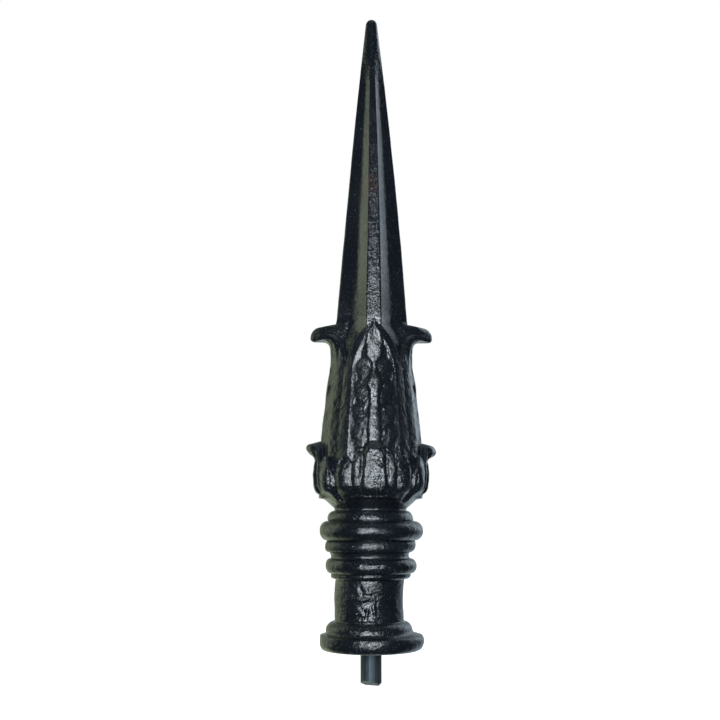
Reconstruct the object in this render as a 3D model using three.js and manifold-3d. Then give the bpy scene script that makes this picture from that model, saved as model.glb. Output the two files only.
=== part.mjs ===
// Fence spear finial: one iron casting on a steel stud. Millimetres, +Z up.
// The origin is the centre of the foot's flat underside. The two curled leaf tips point along X,
// and the leaves at the front and back, which keep flat tips, face along Y. The four leaves of the
// calyx lie under them in the same way: those at the sides have curled lips, the others stand upright.
import * as THREE from 'three';
import { mergeVertices } from 'three/addons/utils/BufferGeometryUtils.js';
import Module from 'manifold-3d';

// Turned base, from the ground up. A moulding has its own height and radius, its crest lies at a
// share of its height, and its section falls back by one depth below the crest and one above it.
const foot = { height: 8, radius: 29.6, crest: 0.6, below: 2.6, above: 0.9 };
const footSlope = 1;
const ovolo = { height: 6.6, radius: 24.7 };
const shaft = { height: 23.6, radius: 19.65 };
const shaftRing = { height: 2.9, radius: 22.9, crest: 0.6, below: 1.6, above: 0.3 };
const lowerRing = { height: 8.4, radius: 26.1, crest: 0.5, below: 3.1, above: 3.1 };
const groove = { height: 3.6, radius: 22.3, crest: 0.4 };
const middleRing = { height: 6.3, radius: 25.9, crest: 0.5, below: 2.2, above: 1.1 };
const torus = { height: 11.2, radius: 29.8, crest: 0.5, below: 5.2, above: 5.2 };
const upperRing = { height: 5.8, radius: 24.6, crest: 0.2, below: 0.4, above: 3.9 };
const neck = { height: 1.2, radius: 20.7 };

// Calyx of four broad leaves. Each rise is measured from the station below it, the first from
// the neck, and each drop is measured down from the tip of the leaf.
const calyx = {
  cupRise: 4.4,
  cupRadius: 25.6,
  swellRise: 4.6,
  swellRadius: 30.3,
  bulgeRise: 8,
  bulgeRadius: 32.2,
  throatRise: 11,
  throatRadius: 31.7,
  tipRise: 6,
  notchDrop: 9,
  shoulderDrop: 5.2,
  gapDrop: 16.5,
  edgeRise: 1.6,
  lipReach: 38,
  uprightReach: 33.8,
  lipThickness: 5.4,
  lipRootRise: 3.6,
  lipHalfAngle: 21,
};

// Rounded lobes of a calyx leaf: the central rib, then three on each side. Angles are degrees from
// the leaf's midline.
const calyxLobes = [
  { at: 0, halfWidth: 9.5, rise: 1.5 },
  { at: 15, halfWidth: 5, rise: 1.1 },
  { at: 25.5, halfWidth: 4, rise: 0.9 },
  { at: 34, halfWidth: 5.5, rise: 1 },
];
const calyxValley = 0.8;
const calyxJoin = { depth: 2.4, halfWidth: 5 };

// Four tall pointed leaves round the body. Each rise is measured from the station below it, the
// first from the tip of the calyx.
const leaf = {
  rootRadius: 28.9,
  footRise: 5.5,
  footRadius: 28.2,
  waistRise: 23,
  waistRadius: 25.5,
  neckRise: 16.5,
  neckRadius: 23.5,
  bendRise: 10,
  bendRadius: 22.8,
  apexRise: 17.5,
  apexRadius: 22.6,
  archDrop: 27,
  rimDrop: 4,
  rimArchDrop: 29,
  edgeHalfAngle: 41,
  rimHalfAngle: 30.5,
  fieldDepth: 0.8,
  edgeDepth: 0.6,
  stepDepth: 2.2,
};
const rim = { rise: 1, halfWidth: 2.6 };
const bead = { rise: 0.6, halfAngle: 4 };
const midrib = { rise: 1.4, lowHalfWidth: 3.6, highHalfWidth: 1.6 };
const endLobe = { rise: 2, halfWidth: 4.6, aboveBend: 3, halfLength: 15 };
const sideLobe = { rise: 1.5, lean: 6, pairs: 3 };

// The outward curl of the two side leaves, measured down from the apex of the leaf.
const curl = {
  reach: 35.8,
  thickness: 8.2,
  droop: 1.8,
  tipThickness: 5.4,
  crestDrop: 0.6,
  crestRadius: 28,
  hollowRadius: 29.4,
  halfAngle: 32,
};

const spear = { rootRise: 2.5, rootRadius: 20.6, length: 189, tipRadius: 3.1, entasis: 0.9 };
const ridgeHalfShare = 0.21;
const fluteShare = 0.72;
const roundTipLength = 22;

// The stud's lower end is sheared off on a slant, turned to the front left.
const stud = { radius: 6, reach: 20, depth: 25, chamfer: 1.6 };
const shear = { drop: 3.4, run: 7, turn: 30 };
const studClearance = 0.3;

const leafCount = 4;
const halfSector = 180 / leafCount;
const baseSegments = 36;

// Angles from a leaf's midline to the next diagonal, in degrees: over the calyx's lobes,
// over the tall leaf's midrib, field and rim, and over the spear's ridge and flute.
const calyxAngles = [0, 5, 9.5, 15, 20, 25.5, 29.5, 34, 40, halfSector];
const leafAngles = [0, 3.5, 8, 13, 18.5, 24.5, 30.5, 35, 41, halfSector];
const spearAngles = [0, 6, 12, 16, 20.5, 26, 31.5, 37, 41, halfSector];
const columnsPerHalf = leafAngles.length - 1;
const columns = 2 * leafCount * columnsPerHalf;

const radians = THREE.MathUtils.degToRad;
const { lerp, smoothstep, clamp } = THREE.MathUtils;

// A smooth curve through [place, value] stations, read at a place.
function through(stations, place) {
  const last = stations.length - 1;
  const at = clamp(place, stations[0][0], stations[last][0]);
  let i = 0;
  while (i < last - 1 && at > stations[i + 1][0]) i += 1;
  const slope = (a, b) => (stations[b][1] - stations[a][1]) / (stations[b][0] - stations[a][0]);
  const [x0, y0] = stations[i];
  const [x1, y1] = stations[i + 1];
  const span = x1 - x0;
  const m0 = slope(Math.max(i - 1, 0), i + 1) * span;
  const m1 = slope(i, Math.min(i + 2, last)) * span;
  const t = (at - x0) / span;
  return (2 * t ** 3 - 3 * t ** 2 + 1) * y0 + (t ** 3 - 2 * t ** 2 + t) * m0
    + (3 * t ** 2 - 2 * t ** 3) * y1 + (t ** 3 - t ** 2) * m1;
}

// A rounded ridge of the given half width, 1 on its crest.
function ridge(distance, halfWidth) {
  const t = Math.abs(distance) / halfWidth;
  return t < 1 ? (1 - t * t) ** 2 : 0;
}

// Turned mouldings

// Points up the section of a moulding, which swells to its radius at the crest. A moulding with
// depths below zero is hollow.
function section(low, { height, radius, crest, below, above }, steps) {
  const points = [];
  for (let i = 0; i <= steps; i += 1) {
    const turn = Math.PI * (i / steps);
    const lower = turn < Math.PI / 2;
    const r = radius - (lower ? below : above) * (1 - Math.sin(turn));
    const share = crest - (lower ? crest : 1 - crest) * Math.cos(turn);
    points.push(new THREE.Vector2(r, low + height * share));
  }
  return points;
}

const footTop = foot.height;
const ovoloFoot = footTop + footSlope;
const ovoloTop = ovoloFoot + ovolo.height;
const shaftTop = ovoloTop + shaft.height;
const shaftRingTop = shaftTop + shaftRing.height;
const lowerRingTop = shaftRingTop + lowerRing.height;
const grooveTop = lowerRingTop + groove.height;
const middleRingTop = grooveTop + middleRing.height;
const torusTop = middleRingTop + torus.height;
const upperRingTop = torusTop + upperRing.height;
const neckTop = upperRingTop + neck.height;

function baseProfile() {
  const profile = [new THREE.Vector2(0, 0), ...section(0, foot, 5)];
  profile.push(new THREE.Vector2(lerp(ovolo.radius, foot.radius, 0.1), ovoloFoot));
  for (let i = 0; i <= 4; i += 1) {
    const turn = (Math.PI / 2) * (i / 4);
    const r = lerp(shaft.radius, ovolo.radius, Math.cos(turn));
    profile.push(new THREE.Vector2(r, ovoloFoot + ovolo.height * lerp(0.2, 1, Math.sin(turn))));
  }
  const hollow = {
    ...groove,
    below: groove.radius - lowerRing.radius + lowerRing.above,
    above: groove.radius - middleRing.radius + middleRing.below,
  };
  profile.push(
    new THREE.Vector2(shaft.radius, shaftTop),
    ...section(shaftTop, shaftRing, 3),
    ...section(shaftRingTop, lowerRing, 6),
    ...section(lowerRingTop, hollow, 4).slice(1, -1),
    ...section(grooveTop, middleRing, 4),
    ...section(middleRingTop, torus, 8),
    ...section(torusTop, upperRing, 5),
    new THREE.Vector2(neck.radius, neckTop),
    new THREE.Vector2(0, neckTop),
  );
  return profile;
}

// Heights above the neck of the carved stations
const cupHeight = calyx.cupRise;
const swellHeight = cupHeight + calyx.swellRise;
const bulgeHeight = swellHeight + calyx.bulgeRise;
const throatHeight = bulgeHeight + calyx.throatRise;
const calyxTip = throatHeight + calyx.tipRise;
const footHeight = calyxTip + leaf.footRise;
const waistHeight = footHeight + leaf.waistRise;
const neckHeight = waistHeight + leaf.neckRise;
const bendHeight = neckHeight + leaf.bendRise;
const apexHeight = bendHeight + leaf.apexRise;
const spearRoot = apexHeight + spear.rootRise;
const spearTip = spearRoot + spear.length;

// Carving of the calyx, tall leaves and spear. Each takes an angle from the leaf's midline in
// degrees and a height above the neck, and gives a radius, a height or a rise off the surface.

function calyxFace(height) {
  return through([
    [0, neck.radius],
    [cupHeight, calyx.cupRadius],
    [swellHeight, calyx.swellRadius],
    [bulgeHeight, calyx.bulgeRadius],
    [throatHeight, calyx.throatRadius],
    [calyxTip, calyx.throatRadius],
  ], height);
}

function calyxEdge(angle) {
  const notch = calyxTip - calyx.notchDrop;
  const shoulder = calyxTip - calyx.shoulderDrop;
  const gap = calyxTip - calyx.gapDrop;
  return through([
    [0, calyxTip],
    [10, lerp(notch, calyxTip, 0.72)],
    [18, lerp(notch, calyxTip, 0.16)],
    [22, notch],
    [28, lerp(notch, shoulder, 0.8)],
    [33.5, shoulder],
    [38, lerp(gap, shoulder, 0.66)],
    [halfSector, gap],
  ], angle);
}

// The lobes and the groove where two leaves meet, fading out under the cup.
function calyxRelief(angle, height) {
  const fade = smoothstep(height, cupHeight, swellHeight);
  const lobes = calyxLobes.map(({ at, halfWidth, rise }) => rise * ridge(angle - at, halfWidth));
  const join = calyxJoin.depth * ridge(angle - halfSector, calyxJoin.halfWidth);
  return fade * (Math.max(...lobes) - calyxValley - join);
}

function bodyRadius(height) {
  return through([
    [calyxTip - calyx.gapDrop, leaf.rootRadius],
    [footHeight, leaf.footRadius],
    [waistHeight, leaf.waistRadius],
    [neckHeight, leaf.neckRadius],
    [bendHeight, leaf.bendRadius],
    [apexHeight, leaf.apexRadius],
  ], height);
}

// The leaf's outer edge and its rim both close to a point.
function archHeight(angle) {
  const share = clamp(1 - angle / leaf.edgeHalfAngle, 0, 1);
  return apexHeight - leaf.archDrop * (1 - share ** (1 / 2.1));
}

function rimAngle(height) {
  const rise = (height - apexHeight + leaf.rimArchDrop) / (leaf.rimArchDrop - leaf.rimDrop);
  return leaf.rimHalfAngle * (1 - clamp(rise, 0, 1) ** 1.75);
}

// Side lobes lean up and outward from the midrib in pairs. The lift is what a lobe gains in
// height at an angle, and it dies away beyond the rim and at both ends of the leaf.
function lobeLift(angle, height) {
  const outward = angle < leaf.rimHalfAngle
    ? angle / leaf.rimHalfAngle
    : (halfSector - angle) / (halfSector - leaf.rimHalfAngle);
  const start = smoothstep(height, calyxTip, footHeight);
  const end = smoothstep(height, neckHeight, bendHeight);
  return sideLobe.lean * outward * start * (1 - end);
}

// Raised rim, sunk field, midrib, pointed end lobe and leaning pairs of side lobes.
function leafRelief(angle, height) {
  const mmPerDegree = radians(1) * bodyRadius(height);
  const across = angle * mmPerDegree;
  const fromRim = (angle - rimAngle(height)) * mmPerDegree;
  const inside = smoothstep(-fromRim, 0.8, 2.4);
  const frame = rim.rise * ridge(fromRim, rim.halfWidth)
    + bead.rise * ridge(angle - halfSector, bead.halfAngle)
    - leaf.edgeDepth * smoothstep(fromRim, 0, 4.5)
    - leaf.fieldDepth * inside;
  const span = (bendHeight - footHeight) / sideLobe.pairs;
  const phase = (height - lobeLift(angle, height) - footHeight) / span - 0.6;
  const start = smoothstep(height, calyxTip, footHeight);
  const end = smoothstep(height, bendHeight - 4, bendHeight + 2);
  const between = smoothstep(across, 1.5, 4) * inside * start * (1 - end);
  const swelling = 0.5 + 0.5 * Math.cos(2 * Math.PI * phase);
  const narrowing = smoothstep(height, waistHeight, bendHeight);
  const fromEndLobe = height - bendHeight - endLobe.aboveBend;
  return frame + Math.max(
    sideLobe.rise * between * swelling,
    endLobe.rise * ridge(across, endLobe.halfWidth) * ridge(fromEndLobe, endLobe.halfLength),
    midrib.rise * ridge(across, lerp(midrib.lowHalfWidth, midrib.highHalfWidth, narrowing)),
  );
}

// Radius of the spear's section: flat-topped ridges on the leaf midlines, hollow flutes between.
function spearRadius(angle, height) {
  const rise = clamp((height - spearRoot) / spear.length, 0, 1);
  const taper = lerp(spear.rootRadius, spear.tipRadius, rise) + 4 * spear.entasis * rise * (1 - rise);
  const ridgeAngle = Math.atan(ridgeHalfShare) / radians(1);
  const flat = 1 / Math.cos(radians(Math.min(angle, ridgeAngle)));
  const along = clamp((angle - ridgeAngle) / (halfSector - ridgeAngle), 0, 1);
  const section = lerp(flat, fluteShare, Math.sin((Math.PI / 2) * along) ** 0.75);
  const roundness = smoothstep(height, spearTip - 2 * roundTipLength, spearTip - roundTipLength / 2);
  const fromTip = clamp((spearTip - height) / spear.tipRadius, 0, 1);
  return taper * lerp(section, 1, roundness) * Math.sqrt(1 - (1 - fromTip) ** 2);
}

// Surface between the leaves and the spear: the flutes run out to the body as a hollow ramp.
function rampRadius(angle, height) {
  const out = 1 - smoothstep(height, apexHeight - 16, apexHeight);
  return lerp(spearRadius(angle, height), bodyRadius(height) - leaf.stepDepth, out);
}

// Rows of the carved surface from the neck to the spear's point, as shares of each zone's height

const zoneRows = {
  calyx: [0, 0.06, 0.13, 0.22, 0.34, 0.5, 0.66, 0.8, 0.88, 0.94, 1],
  calyxEdge: [0.3, 0.65, 1],
  leaf: [0.09, 0.2, 0.316, 0.37, 0.43, 0.55, 0.61, 0.67, 0.74, 0.8, 0.84, 0.88, 0.92, 0.96, 1],
  ramp: [0.1, 0.22, 0.4, 0.6, 0.8, 1],
  spear: [0.2, 0.45, 0.7, 0.86, 0.95, 0.984, 0.995],
};

// Side view of each curl, as [radius, height] for the last rows below its edge and the rows above
// it: out along the underside to the tip, then back over the top.
const lipSide = {
  calyx: [
    [calyx.throatRadius, calyxTip - 7.6],
    [calyx.throatRadius + 1, calyxTip - 5.4],
    [calyx.lipReach - 1.6, calyxTip - calyx.lipThickness * 0.62],
    [calyx.lipReach, calyxTip - calyx.lipThickness * 0.2],
  ],
  calyxEdge: [
    [calyx.lipReach - 1.6, calyxTip + calyx.lipThickness * 0.32],
    [calyx.lipReach - 5, calyxTip + calyx.lipRootRise * 0.85],
    [leaf.footRadius + 0.4, calyxTip + calyx.lipRootRise],
  ],
};

// The front and back calyx leaves stand upright and only round over at their tips.
const uprightLipSide = {
  calyx: [
    [lerp(calyx.throatRadius, calyx.uprightReach, 0.3), calyxTip - 7.6],
    [lerp(calyx.throatRadius, calyx.uprightReach, 0.6), calyxTip - 5.4],
    [calyx.uprightReach - 0.1, calyxTip - calyx.lipThickness * 0.54],
    [calyx.uprightReach, calyxTip - calyx.lipThickness * 0.2],
  ],
  calyxEdge: [
    [calyx.uprightReach - 0.6, calyxTip + calyx.lipRootRise * 0.17],
    [lerp(calyx.uprightReach, leaf.footRadius, 0.4), calyxTip + calyx.lipRootRise * 0.6],
    [leaf.footRadius + 0.4, calyxTip + calyx.lipRootRise],
  ],
};

const hollowHeight = apexHeight - curl.thickness;
const droopHeight = hollowHeight - curl.droop;
const curlSide = {
  leaf: [
    [leaf.bendRadius, lerp(bendHeight, hollowHeight, 0.3)],
    [lerp(leaf.bendRadius, curl.hollowRadius, 0.2), lerp(bendHeight, hollowHeight, 0.72)],
    [curl.hollowRadius, hollowHeight],
    [curl.reach - 1.4, droopHeight],
    [curl.reach - 0.1, droopHeight + curl.tipThickness * 0.25],
    [curl.reach, droopHeight + curl.tipThickness * 0.6],
  ],
  ramp: [
    [curl.reach - 1, droopHeight + curl.tipThickness],
    [lerp(curl.reach, curl.crestRadius, 0.4), apexHeight - curl.crestDrop - 1],
    [curl.crestRadius, apexHeight - curl.crestDrop],
    [lerp(curl.crestRadius, spear.rootRadius, 0.6), apexHeight],
    [spear.rootRadius + 0.2, apexHeight - 0.3],
  ],
};

// The plain surface, before the curls: a point at an angle on a row.
function plainPoint(zone, share, angle) {
  const edge = calyxEdge(angle);
  const arch = archHeight(angle);
  if (zone === 'calyx') {
    const height = share * edge;
    return [calyxFace(height) + calyxRelief(angle, height), height];
  }
  const bodyStart = edge + calyx.edgeRise;
  if (zone === 'calyxEdge') {
    const height = edge + calyx.edgeRise * share ** 2;
    const outer = calyxFace(edge) + calyxRelief(angle, edge) - 0.5;
    return [lerp(outer, bodyRadius(bodyStart) + leafRelief(angle, bodyStart), share), height];
  }
  if (zone === 'leaf') {
    const level = lerp(bodyStart, arch, share);
    const height = level + lobeLift(angle, level);
    return [bodyRadius(height) + leafRelief(angle, height), height];
  }
  if (zone === 'ramp') {
    const height = lerp(arch + 0.4, spearRoot, share ** 1.3);
    return [rampRadius(angle, height), height];
  }
  const height = lerp(spearRoot, spearTip, share);
  return [spearRadius(angle, height), height];
}

// Moves a point to a curl's side view: all the way on the leaf's midline, less beside it, so that
// the curl narrows to a point in plan, and not at all beyond the given angle.
function bend(point, zone, row, angle, side, halfWidth) {
  if (!side[zone]) return point;
  const below = zone === 'calyx' || zone === 'leaf';
  const index = below ? row - zoneRows[zone].length + side[zone].length : row;
  const target = side[zone][index];
  if (!target || angle >= halfWidth) return point;
  const outward = (1 - angle / halfWidth) ** 1.35;
  const upward = (1 - (angle / halfWidth) ** 2) ** 1.5;
  return [lerp(point[0], target[0], outward), lerp(point[1], target[1], upward)];
}

function columnAngle(zone, share, step) {
  if (zone === 'calyx' || zone === 'calyxEdge') return calyxAngles[step];
  if (zone === 'leaf') return lerp(calyxAngles[step], leafAngles[step], Math.min(1, share * 5));
  if (zone === 'ramp') return lerp(leafAngles[step], spearAngles[step], share);
  return spearAngles[step];
}

function carvedPoint(zone, row, step, curled) {
  const share = zoneRows[zone][row];
  const angle = columnAngle(zone, share, step);
  const lip = curled ? lipSide : uprightLipSide;
  const point = bend(plainPoint(zone, share, angle), zone, row, angle, lip, calyx.lipHalfAngle);
  return curled ? bend(point, zone, row, angle, curlSide, curl.halfAngle) : point;
}

// The carved upper part: one turned form whose rings are reshaped row by row.
function carvedGeometry() {
  const rows = Object.keys(zoneRows).flatMap((zone) => zoneRows[zone].map((share, row) => [zone, row]));
  const buried = -2 * neck.height;
  const profile = [new THREE.Vector2(0, buried), new THREE.Vector2(neck.radius, buried)];
  rows.forEach(() => profile.push(new THREE.Vector2(1, 0)));
  profile.push(new THREE.Vector2(0, spearTip));
  const geometry = new THREE.LatheGeometry(profile, columns);
  geometry.rotateX(Math.PI / 2);
  const position = geometry.getAttribute('position');
  for (let column = 0; column <= columns; column += 1) {
    const leafIndex = Math.round(column / (2 * columnsPerHalf) - 0.01);
    const step = column - 2 * columnsPerHalf * leafIndex;
    const place = (ring, zone, share, [radius, height]) => {
      const angle = Math.sign(step) * columnAngle(zone, share, Math.abs(step));
      const turn = radians(2 * halfSector * leafIndex + angle);
      const vertex = column * profile.length + ring;
      position.setXYZ(vertex, radius * Math.cos(turn), radius * Math.sin(turn), height);
    };
    place(1, 'calyx', 0, [neck.radius, buried]);
    rows.forEach(([zone, row], ring) => {
      const point = carvedPoint(zone, row, Math.abs(step), leafIndex % 2 === 0);
      place(ring + 2, zone, zoneRows[zone][row], point);
    });
  }
  geometry.translate(0, 0, neckTop);
  return geometry;
}

// Solids

const wasm = await Module();
wasm.setup();

function toSolid(geometry) {
  const bare = geometry.clone();
  bare.deleteAttribute('normal');
  bare.deleteAttribute('uv');
  const merged = mergeVertices(bare, 1e-4);
  return new wasm.Manifold(new wasm.Mesh({
    numProp: 3,
    vertProperties: new Float32Array(merged.getAttribute('position').array),
    triVerts: new Uint32Array(merged.getIndex().array),
  }));
}

function toGeometry(solid) {
  const mesh = solid.getMesh();
  const geometry = new THREE.BufferGeometry();
  geometry.setAttribute('position', new THREE.BufferAttribute(mesh.vertProperties, 3));
  geometry.setIndex(new THREE.BufferAttribute(mesh.triVerts, 1));
  geometry.computeVertexNormals();
  return geometry;
}

function turned(profile, segments) {
  const geometry = new THREE.LatheGeometry(profile, segments);
  geometry.rotateX(Math.PI / 2);
  return geometry;
}

function castingGeometry() {
  const radius = stud.radius + studClearance;
  const depth = stud.depth + studClearance;
  const hole = new THREE.CylinderGeometry(radius, radius, 2 * depth, 24);
  hole.rotateX(Math.PI / 2);
  const body = toSolid(turned(baseProfile(), baseSegments)).add(toSolid(carvedGeometry()));
  return toGeometry(body.subtract(toSolid(hole)));
}

function studGeometry() {
  const pin = turned([
    new THREE.Vector2(0, -stud.reach),
    new THREE.Vector2(stud.radius - stud.chamfer, -stud.reach),
    new THREE.Vector2(stud.radius, -stud.reach + stud.chamfer),
    new THREE.Vector2(stud.radius, stud.depth),
    new THREE.Vector2(0, stud.depth),
  ], 24);
  const cutter = new THREE.BoxGeometry(4 * stud.radius, 4 * stud.radius, 4 * shear.drop);
  cutter.translate(0, 0, -2 * shear.drop);
  cutter.rotateX(-Math.atan2(shear.drop, shear.run));
  cutter.translate(0, -stud.radius, shear.drop - stud.reach);
  cutter.rotateZ(radians(-shear.turn));
  return toGeometry(toSolid(pin).subtract(toSolid(cutter)));
}

const finial = new THREE.Group();

const castingPaint = new THREE.MeshStandardMaterial({ color: 0x1b1f22, roughness: 0.3, metalness: 0.2 });
const casting = new THREE.Mesh(castingGeometry(), castingPaint);
casting.name = 'casting';
finial.add(casting);

const bareSteel = new THREE.MeshStandardMaterial({ color: 0x4a5258, roughness: 0.45, metalness: 0.9 });
const steelStud = new THREE.Mesh(studGeometry(), bareSteel);
steelStud.name = 'steel_stud';
finial.add(steelStud);

export default finial;
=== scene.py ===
import math

import bpy
import numpy as np
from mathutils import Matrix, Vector, noise


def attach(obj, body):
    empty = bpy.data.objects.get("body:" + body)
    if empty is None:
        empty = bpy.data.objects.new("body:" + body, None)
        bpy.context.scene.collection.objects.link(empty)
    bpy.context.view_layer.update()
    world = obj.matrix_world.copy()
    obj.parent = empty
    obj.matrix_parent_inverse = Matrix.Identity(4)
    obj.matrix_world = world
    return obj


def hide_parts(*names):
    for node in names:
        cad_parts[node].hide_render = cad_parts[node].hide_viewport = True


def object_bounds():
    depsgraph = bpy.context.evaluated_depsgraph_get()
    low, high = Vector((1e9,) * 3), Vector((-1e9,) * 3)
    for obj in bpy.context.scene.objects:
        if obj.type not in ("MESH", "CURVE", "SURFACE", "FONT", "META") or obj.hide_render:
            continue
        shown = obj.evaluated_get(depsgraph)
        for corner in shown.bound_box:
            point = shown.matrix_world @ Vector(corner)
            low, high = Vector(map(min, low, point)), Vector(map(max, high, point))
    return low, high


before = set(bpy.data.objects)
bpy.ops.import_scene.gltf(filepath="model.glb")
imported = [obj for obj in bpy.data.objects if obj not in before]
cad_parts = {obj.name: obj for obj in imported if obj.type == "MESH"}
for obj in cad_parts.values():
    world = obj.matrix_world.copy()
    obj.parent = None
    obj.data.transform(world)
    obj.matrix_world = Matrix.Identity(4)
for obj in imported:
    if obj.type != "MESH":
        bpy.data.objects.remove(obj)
cad_low, cad_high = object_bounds()

# The casting is built here again with its fine relief, on the sizes of its solid. The stud's solid
# stays and gets a material.

# Sizes of the casting, in millimetres. Heights of the base are above the foot's flat underside.

FOOT = dict(height=8.0, radius=29.6, crest=0.6, below=2.6, above=0.9)
FOOT_SLOPE = 1.0
OVOLO = dict(height=6.6, radius=24.7)
SHAFT = dict(height=23.6, radius=19.65)
SHAFT_RING = dict(height=2.9, radius=22.9, crest=0.6, below=1.6, above=0.3)
LOWER_RING = dict(height=8.4, radius=26.1, crest=0.5, below=3.1, above=3.1)
GROOVE = dict(height=3.6, radius=22.3, crest=0.4, below=-0.7, above=-1.4)
MIDDLE_RING = dict(height=6.3, radius=25.9, crest=0.5, below=2.2, above=1.1)
TORUS = dict(height=11.2, radius=29.8, crest=0.5, below=5.2, above=5.2)
UPPER_RING = dict(height=5.8, radius=24.6, crest=0.2, below=0.4, above=3.9)
NECK = dict(height=1.2, radius=20.7)

HOLE_RADIUS = 6.3
HOLE_DEPTH = 25.3
HOLE_CHAMFER = (0.5, 1.2)

# Stations of the carved part, in millimetres above the neck

CUP, SWELL, BULGE, THROAT, TIP = 4.4, 9.0, 17.0, 28.0, 34.0
CUP_RADIUS, SWELL_RADIUS, BULGE_RADIUS, THROAT_RADIUS = 25.6, 30.3, 32.2, 31.7
NOTCH, SHOULDER, GAP = TIP - 9.0, TIP - 5.2, TIP - 16.5
LEAF_FOOT, LEAF_WAIST, LEAF_NECK, LEAF_BEND, LEAF_APEX = 39.5, 62.5, 79.0, 89.0, 106.5
LEAF_SPAN, LEAF_HALF_ANGLE = 90, 45
SPEAR_ROOT = 109.0
SPEAR_LENGTH = 189.0
SPEAR_TOP = SPEAR_ROOT + SPEAR_LENGTH
SPEAR_ROOT_RADIUS, SPEAR_TIP_RADIUS = 20.6, 3.1
SPEAR_BELLY = 3.6
SPEAR_ROUNDED = 56
FLUTE_FLOOR = 0.72
RIDGE_SLOPE = 0.21

# Columns round the casting: fine where it is carved, coarse elsewhere
FINE = 320
COARSE = 160


def smooth(value, low, high):
    """An eased step from 0 at low to 1 at high."""
    t = np.clip((value - low) / (high - low), 0, 1)
    return t * t * (3 - 2 * t)


def plateau(value, up, down):
    """1 between two eased steps, one up and one down, each over its own range."""
    return smooth(value, *up) * (1 - smooth(value, *down))


def lerp(a, b, t):
    """The value a share t of the way from a to b."""
    return a + (b - a) * t


def ridge(distance, half_width):
    """A rounded ridge, 1 on its crest."""
    t = np.clip(np.abs(distance) / half_width, 0, 1)
    return (1 - t * t) ** 2


def dome(distance, half_width):
    """A full round with steep sides, 1 on its crest."""
    t = np.clip(np.abs(distance) / half_width, 0, 1)
    return np.sqrt(1 - t * t)


def flat_dome(distance, half_width, power):
    """A flat-topped swelling with rounded shoulders, flatter at a higher power."""
    t = np.clip(np.abs(distance) / half_width, 0, 1)
    return np.sqrt(1 - t**power)


def flattening(angle, radius, limit):
    """Rise that makes a round of this radius flat within the limit angle."""
    return radius * (1 / np.cos(np.radians(np.minimum(angle, limit))) - 1)


def through(stations, place):
    """A smooth curve through (place, value) stations, read at an array of places."""
    xs, ys = np.array(stations, float).T
    slopes = np.gradient(ys, xs)
    at = np.clip(place, xs[0], xs[-1])
    i = np.clip(np.searchsorted(xs, at, side="right") - 1, 0, len(xs) - 2)
    span = xs[i + 1] - xs[i]
    t = (at - xs[i]) / span
    return (
        (2 * t**3 - 3 * t**2 + 1) * ys[i]
        + (t**3 - 2 * t**2 + t) * span * slopes[i]
        + (3 * t**2 - 2 * t**3) * ys[i + 1]
        + (t**3 - t**2) * span * slopes[i + 1]
    )


class SideView:
    """A smooth side view of a curl, read by its share of length, with its outward normal."""

    STEP = 0.01

    def __init__(self, points):
        points = np.array(points, float)
        lengths = np.hypot(*np.diff(points, axis=0).T)
        self.places = np.concatenate([[0], np.cumsum(lengths)])
        self.places /= self.places[-1]
        self.points = points

    def at(self, share):
        radius = through(list(zip(self.places, self.points[:, 0])), share)
        height = through(list(zip(self.places, self.points[:, 1])), share)
        return radius, height

    def normal(self, share):
        r0, h0 = self.at(share - self.STEP)
        r1, h1 = self.at(share + self.STEP)
        length = np.hypot(r1 - r0, h1 - h0) + 1e-9
        return (h1 - h0) / length, -(r1 - r0) / length


# Camera at the photograph's angle, in metres and pixels of the 720-pixel square frame

FRAME_WIDTH = 720
FOCAL_PIXELS = 1050
SENSOR = 36.0
CAMERA_DISTANCE = 0.6105
CAMERA_HEIGHT = 0.0766
CAMERA_PITCH = math.radians(8.24)
CAMERA_AZIMUTH = math.radians(-3.2)
AXIS_PIXEL_OFFSET = 10.7
CLIP_START = 0.01


def add_camera():
    right = Vector((math.cos(CAMERA_AZIMUTH), math.sin(CAMERA_AZIMUTH), 0))
    forward = Vector((-math.sin(CAMERA_AZIMUTH), math.cos(CAMERA_AZIMUTH), 0))
    side = -AXIS_PIXEL_OFFSET / FOCAL_PIXELS * CAMERA_DISTANCE
    camera = bpy.data.objects.new("camera", bpy.data.cameras.new("camera"))
    bpy.context.scene.collection.objects.link(camera)
    camera.location = right * side - forward * CAMERA_DISTANCE + Vector((0, 0, CAMERA_HEIGHT))
    aim = forward * math.cos(CAMERA_PITCH) + Vector((0, 0, math.sin(CAMERA_PITCH)))
    camera.rotation_euler = aim.to_track_quat("-Z", "Y").to_euler()
    camera.data.sensor_width = SENSOR
    camera.data.lens = FOCAL_PIXELS / FRAME_WIDTH * SENSOR
    camera.data.clip_start = CLIP_START
    bpy.context.scene.camera = camera


# Casting: turned base


def section(low, moulding, steps):
    """Points up the section of a moulding, which swells to its radius at the crest."""
    turn = np.linspace(0, math.pi, steps + 1)
    lower = turn < math.pi / 2
    depth = np.where(lower, moulding["below"], moulding["above"])
    part = np.where(lower, moulding["crest"], 1 - moulding["crest"])
    radius = moulding["radius"] - depth * (1 - np.sin(turn))
    return list(zip(radius, low + moulding["height"] * (moulding["crest"] - part * np.cos(turn))))


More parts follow.
